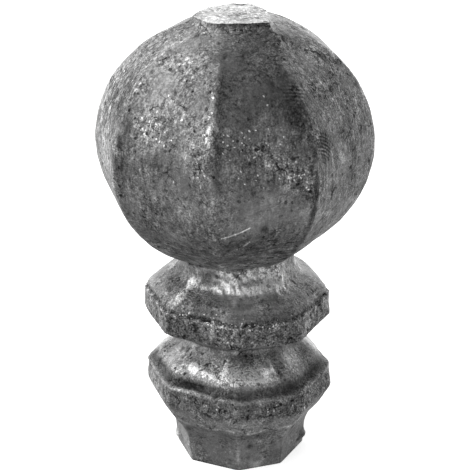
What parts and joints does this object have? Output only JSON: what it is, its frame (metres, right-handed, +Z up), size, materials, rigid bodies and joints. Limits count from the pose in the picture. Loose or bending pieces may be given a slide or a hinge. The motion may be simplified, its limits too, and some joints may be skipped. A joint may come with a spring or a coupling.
{
  "type": "forged post cap",
  "caption": "Hand-forged steel post cap: a faceted ball with a flattened crown over two faceted collars and a short flared foot that is welded on top of a post.",
  "frame": {"origin": "middle of the flat underside of the foot", "axes": "+Z up through the middle of the ball, -Y towards the front ridge that the picture shows"},
  "size_m": [0.0596, 0.0597, 0.0994],
  "materials": {
    "forged_steel": "bare forged steel with a thin dark oxide skin, pitted and hammered, half dull and half shiny"
  },
  "bodies": {
    "root": {"post_cap": "forged_steel"}
  },
  "joints": []
}
